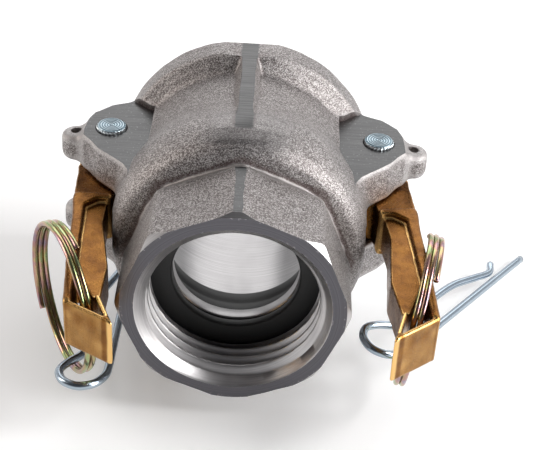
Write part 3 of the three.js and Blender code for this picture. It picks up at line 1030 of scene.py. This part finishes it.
def assign_body_finishes(body):
    """Cast skin, ground flats, turned faces and bored surfaces, told apart by where each face lies."""
    for finish in (cast_aluminium(), ground_aluminium(), turned_aluminium(),
                   bored_aluminium("bored_aluminium", 0.3, 0.23, 0.38),
                   bored_aluminium("threaded_aluminium", 0.36, 0.44, 0.64)):
        body.data.materials.append(finish)
    count = len(body.data.polygons)
    centres = np.empty(count * 3)
    normals = np.empty(count * 3)
    body.data.polygons.foreach_get("center", centres)
    body.data.polygons.foreach_get("normal", normals)
    x, y, z = (centres.reshape(-1, 3) / MM - ORIGIN).T
    nx, ny, nz = normals.reshape(-1, 3).T
    radius = np.hypot(x, z)
    inward = (nx * x + nz * z) / np.maximum(radius, 0.1) < -0.3
    finish = np.full(count, CAST)
    near = 0.04
    level = np.abs(nz) > 0.99
    finish[level & (np.abs(z + RIB_HEIGHT) < near)] = GROUND
    finish[level & (np.abs(np.abs(z) - CORNER_FLAT) < near) & (y < OCTAGON_END)] = GROUND
    finish[level & (np.abs(np.abs(z) - BOSS_HEIGHT) < near) & (np.abs(x) > 17)] = GROUND
    finish[(np.abs(y) < near) & (ny < -0.9)] = TURNED
    finish[(np.abs(y - BODY_LENGTH) < near) & (ny > 0.9)] = TURNED
    finish[(y < 3) & (radius > FACE_RADIUS - near) & (ny < -0.5) & (ny > -0.9)] = THREADED
    inside = (radius < SOCKET_RADIUS + 0.1) & (y < BODY_LENGTH - near) & (y > near)
    finish[inside & (inward | (np.abs(ny) > 0.3))] = BORED
    finish[inside & (y < SEAT_END)] = THREADED
    finish[(y > RECESS_START - near) & (y < RECESS_END + near) & (radius < RECESS_RADIUS + near)] = BORED
    body.data.polygons.foreach_set("material_index", finish.astype(np.int32))
    body.data.update()


# ---------------------------------------------------------------- camera, lights and floor

CAMERA_AIM = (6.58, 25.44, 0.90)      # in the drawing
CAMERA_DISTANCE = 250.5
CAMERA_AZIMUTH = math.radians(0.70)
CAMERA_ELEVATION = math.radians(35.12)
CAMERA_ROLL = math.radians(3.67)
CAMERA_LENS = 87.4


def add_camera():
    """The camera, looking at the aim from its distance, turned, raised and rolled by its angles."""
    forward = Vector((math.sin(CAMERA_AZIMUTH) * math.cos(CAMERA_ELEVATION),
                      math.cos(CAMERA_AZIMUTH) * math.cos(CAMERA_ELEVATION), -math.sin(CAMERA_ELEVATION)))
    level = Vector((math.cos(CAMERA_AZIMUTH), -math.sin(CAMERA_AZIMUTH), 0))
    upright = level.cross(forward)
    right = level * math.cos(CAMERA_ROLL) + upright * math.sin(CAMERA_ROLL)
    up = upright * math.cos(CAMERA_ROLL) - level * math.sin(CAMERA_ROLL)
    aim = (Vector(CAMERA_AIM) + Vector(ORIGIN)) * MM
    camera = bpy.data.objects.new("camera", bpy.data.cameras.new("camera"))
    camera.data.lens = CAMERA_LENS
    camera.data.clip_start = 0.01
    bpy.context.scene.collection.objects.link(camera)
    camera.matrix_world = Matrix.Translation(aim - forward * CAMERA_DISTANCE * MM) @ Matrix(
        (right, up, -forward)).transposed().to_4x4()
    bpy.context.scene.camera = camera


def softbox(name, position, aim, width, height, watts, tint=(1, 1, 1)):
    """A rectangular light that faces the aim; places are in metres."""
    light = bpy.data.lights.new(name, "AREA")
    light.shape = "RECTANGLE"
    light.size = width
    light.size_y = height
    light.energy = watts
    light.color = tint
    made = bpy.data.objects.new(name, light)
    made.location = position
    made.rotation_euler = (Vector(aim) - Vector(position)).to_track_quat("-Z", "Y").to_euler()
    bpy.context.scene.collection.objects.link(made)


def add_lights():
    """A pale room, darker overhead and in front, with four softboxes."""
    world = bpy.data.worlds.new("studio")
    bpy.context.scene.world = world
    world.use_nodes = True
    tree = world.node_tree
    parts = add(tree, "SeparateXYZ", {0: add(tree, "TexCoord", {}, "Generated")}, 0).node
    y, z = parts.outputs[1], parts.outputs[2]
    colour = ramp(tree, plus(tree, times(tree, z, 0.5), 0.5),
                  [(0.35, (0.70, 0.70, 0.70)), (0.52, (0.95, 0.95, 0.96)), (0.64, (0.72, 0.72, 0.73)),
                   (0.84, (0.34, 0.34, 0.35)), (1.0, (0.12, 0.12, 0.13))])
    front = times(tree, between(tree, y, 0.15, -0.35), between(tree, z, 0.02, 0.35))
    colour = blend(tree, times(tree, front, 0.88), colour, (0.04, 0.04, 0.045, 1))
    background = tree.nodes["Background"]
    tree.links.new(colour, background.inputs["Color"])
    background.inputs["Strength"].default_value = 1.0
    middle = (0, 0, 0.02)
    softbox("light_back", (0.05, 0.62, 0.46), middle, 0.9, 0.4, 2.4)
    softbox("light_right", (0.54, -0.06, 0.40), middle, 0.26, 0.40, 4)
    softbox("light_side", (0.66, -0.27, 0.15), middle, 0.25, 0.2, 2.2)
    softbox("light_left", (-0.55, 0.04, 0.30), middle, 0.26, 0.40, 1.4, (1.0, 0.93, 0.86))


def add_floor():
    size = 3.0
    mesh = bpy.data.meshes.new("floor")
    corners = [(-size, -size, 0), (size, -size, 0), (size, size, 0), (-size, size, 0)]
    mesh.from_pydata(corners, [], [(0, 1, 2, 3)])
    floor = bpy.data.objects.new("floor", mesh)
    bpy.context.scene.collection.objects.link(floor)
    floor.location.z = cad_bounds[0][2]
    mesh.materials.append(pale_floor())


# ---------------------------------------------------------------- assembly

def stand_for(piece, node, body, finish=None):
    """Puts a piece in the place of a CAD node, on its body, with its material."""
    if finish is not None:
        piece.data.materials.append(finish)
    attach(piece, body)
    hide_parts(node)


bpy.context.scene.view_settings.view_transform = "Standard"
add_camera()
add_floor()
add_lights()

body_piece = coupler_body()
assign_body_finishes(body_piece)
stand_for(body_piece, "coupler_body", "body")
for gasket, node, grey in ((thread_gasket(), "thread_gasket", 0.008), (cam_gasket(), "cam_gasket", 0.02)):
    stand_for(gasket, node, "body", black_rubber(node + "_rubber", grey))

pin_finish = turned_zinc()
brass = tumbled_brass()
yellow = yellow_zinc()
bright = bright_zinc((0.40, 0.46, 0.52), 0.17)
levers = cam_levers()
for side, name in SIDE_NAME.items():
    stand_for(pivot_pin(side), "pivot_pin_%s" % name, "body", pin_finish)
    stand_for(levers[name], "cam_lever_%s" % name, "lever_%s" % name, brass)
    stand_for(pull_ring(name), "pull_ring_%s" % name, "ring_%s" % name, yellow)
    stand_for(safety_clip(name), "safety_clip_%s" % name, "clip_%s" % name, bright)
